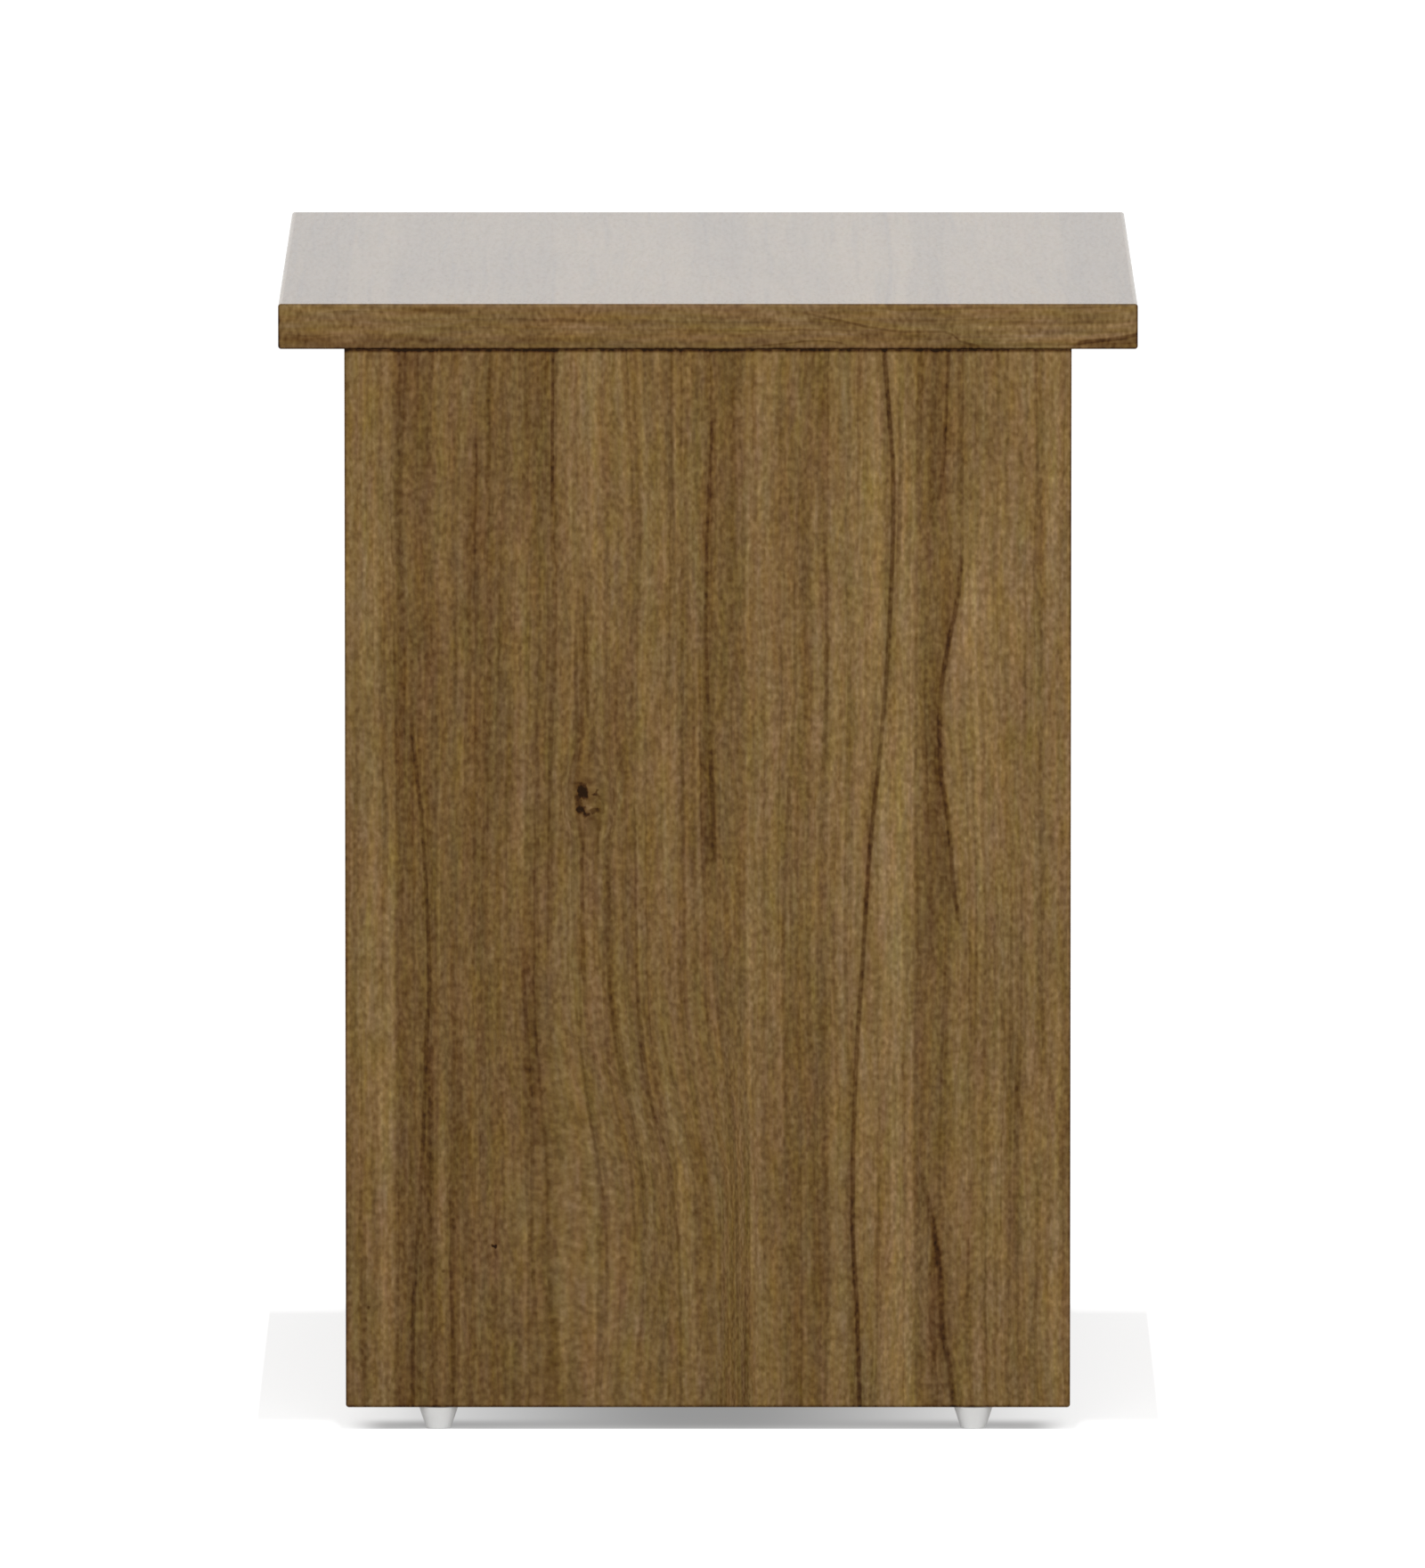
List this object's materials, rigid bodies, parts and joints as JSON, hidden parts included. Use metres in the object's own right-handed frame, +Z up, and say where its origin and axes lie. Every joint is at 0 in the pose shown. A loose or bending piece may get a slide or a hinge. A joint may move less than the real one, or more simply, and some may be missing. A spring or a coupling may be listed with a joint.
{
  "type": "nightstand",
  "caption": "Walnut-look nightstand with slab sides on tapered feet, an overhanging flat top, and handleless inset drawers on roller runners with hand gaps above the fronts.",
  "frame": {"origin": "on the floor, under the middle of the top", "axes": "+Z up; the drawers open towards -Y; +X is to the right seen from the front"},
  "size_m": [0.45, 0.416, 0.55],
  "materials": {
    "walnut_foil": "matt walnut foil",
    "walnut_band": "matt walnut edge band",
    "hardboard": "smooth brown hardboard",
    "drawer_foil": "matt pale grey foil",
    "runner_enamel": "white epoxy coat",
    "roller_nylon": "white nylon",
    "foot_plastic": "white moulded plastic",
    "fastener_steel": "zinc-plated steel",
    "cam_zinc": "cast zinc",
    "dowel_beech": "plain beech"
  },
  "bodies": {
    "case": {"top_panel": "walnut_foil", "top_edge_band": "walnut_band", "bottom_panel": "walnut_foil", "middle_rail": "walnut_foil", "toe_rail": "walnut_foil", "back_panel": "hardboard", "cam_bolts": "fastener_steel", "cams": "cam_zinc", "dowels": "dowel_beech", "foot_nails": "fastener_steel", "back_panel_nails": "fastener_steel", "case_runner_screws": "fastener_steel", "front_roller_axles": "fastener_steel", "left_side_panel": "walnut_foil", "left_side_edge_band": "walnut_band", "front_left_foot": "foot_plastic", "back_left_foot": "foot_plastic", "upper_left_case_runner": "runner_enamel", "lower_left_case_runner": "runner_enamel", "right_side_panel": "walnut_foil", "right_side_edge_band": "walnut_band", "front_right_foot": "foot_plastic", "back_right_foot": "foot_plastic", "upper_right_case_runner": "runner_enamel", "lower_right_case_runner": "runner_enamel"},
    "upper_drawer": {"upper_drawer_front": "walnut_foil", "upper_front_edge_band": "walnut_band", "upper_drawer_back": "drawer_foil", "upper_drawer_bottom": "hardboard", "upper_drawer_cam_bolts": "fastener_steel", "upper_drawer_cams": "cam_zinc", "upper_drawer_back_screws": "fastener_steel", "upper_drawer_runner_screws": "fastener_steel", "upper_rear_roller_axles": "fastener_steel", "upper_drawer_left_side": "drawer_foil", "upper_left_drawer_runner": "runner_enamel", "upper_drawer_right_side": "drawer_foil", "upper_right_drawer_runner": "runner_enamel"},
    "lower_drawer": {"lower_drawer_front": "walnut_foil", "lower_front_edge_band": "walnut_band", "lower_drawer_back": "drawer_foil", "lower_drawer_bottom": "hardboard", "lower_drawer_cam_bolts": "fastener_steel", "lower_drawer_cams": "cam_zinc", "lower_drawer_back_screws": "fastener_steel", "lower_drawer_runner_screws": "fastener_steel", "lower_rear_roller_axles": "fastener_steel", "lower_drawer_left_side": "drawer_foil", "lower_left_drawer_runner": "runner_enamel", "lower_drawer_right_side": "drawer_foil", "lower_right_drawer_runner": "runner_enamel"},
    "upper_left_front_roller": {"upper_left_front_roller": "roller_nylon"},
    "upper_left_rear_roller": {"upper_left_rear_roller": "roller_nylon"},
    "upper_right_front_roller": {"upper_right_front_roller": "roller_nylon"},
    "upper_right_rear_roller": {"upper_right_rear_roller": "roller_nylon"},
    "lower_left_front_roller": {"lower_left_front_roller": "roller_nylon"},
    "lower_left_rear_roller": {"lower_left_rear_roller": "roller_nylon"},
    "lower_right_front_roller": {"lower_right_front_roller": "roller_nylon"},
    "lower_right_rear_roller": {"lower_right_rear_roller": "roller_nylon"}
  },
  "joints": [
    {"name": "upper_drawer_slide", "type": "slide", "parent": "case", "child": "upper_drawer", "axis": [0, -1, 0], "range_m": [0, 0.225]},
    {"name": "upper_left_front_roller_spin", "type": "hinge", "parent": "case", "child": "upper_left_front_roller", "pos_m": [-0.2012, -0.146, 0.3345], "axis": [1, 0, 0], "range_deg": [0, 1290]},
    {"name": "upper_left_rear_roller_spin", "type": "hinge", "parent": "upper_drawer", "child": "upper_left_rear_roller", "pos_m": [-0.1981, 0.1305, 0.3345], "axis": [1, 0, 0], "range_deg": [0, 1290]},
    {"name": "upper_right_front_roller_spin", "type": "hinge", "parent": "case", "child": "upper_right_front_roller", "pos_m": [0.2012, -0.146, 0.3345], "axis": [1, 0, 0], "range_deg": [0, 1290]},
    {"name": "upper_right_rear_roller_spin", "type": "hinge", "parent": "upper_drawer", "child": "upper_right_rear_roller", "pos_m": [0.1981, 0.1305, 0.3345], "axis": [1, 0, 0], "range_deg": [0, 1290]},
    {"name": "lower_drawer_slide", "type": "slide", "parent": "case", "child": "lower_drawer", "axis": [0, -1, 0], "range_m": [0, 0.225]},
    {"name": "lower_left_front_roller_spin", "type": "hinge", "parent": "case", "child": "lower_left_front_roller", "pos_m": [-0.2012, -0.146, 0.1105], "axis": [1, 0, 0], "range_deg": [0, 1290]},
    {"name": "lower_left_rear_roller_spin", "type": "hinge", "parent": "lower_drawer", "child": "lower_left_rear_roller", "pos_m": [-0.1981, 0.1305, 0.1105], "axis": [1, 0, 0], "range_deg": [0, 1290]},
    {"name": "lower_right_front_roller_spin", "type": "hinge", "parent": "case", "child": "lower_right_front_roller", "pos_m": [0.2012, -0.146, 0.1105], "axis": [1, 0, 0], "range_deg": [0, 1290]},
    {"name": "lower_right_rear_roller_spin", "type": "hinge", "parent": "lower_drawer", "child": "lower_right_rear_roller", "pos_m": [0.1981, 0.1305, 0.1105], "axis": [1, 0, 0], "range_deg": [0, 1290]}
  ],
  "couplings": [
    {"joint": "upper_left_front_roller_spin", "follows": "upper_drawer_slide", "rad_per_m": 100},
    {"joint": "upper_left_rear_roller_spin", "follows": "upper_drawer_slide", "rad_per_m": 100},
    {"joint": "upper_right_front_roller_spin", "follows": "upper_drawer_slide", "rad_per_m": 100},
    {"joint": "upper_right_rear_roller_spin", "follows": "upper_drawer_slide", "rad_per_m": 100},
    {"joint": "lower_left_front_roller_spin", "follows": "lower_drawer_slide", "rad_per_m": 100},
    {"joint": "lower_left_rear_roller_spin", "follows": "lower_drawer_slide", "rad_per_m": 100},
    {"joint": "lower_right_front_roller_spin", "follows": "lower_drawer_slide", "rad_per_m": 100},
    {"joint": "lower_right_rear_roller_spin", "follows": "lower_drawer_slide", "rad_per_m": 100}
  ]
}
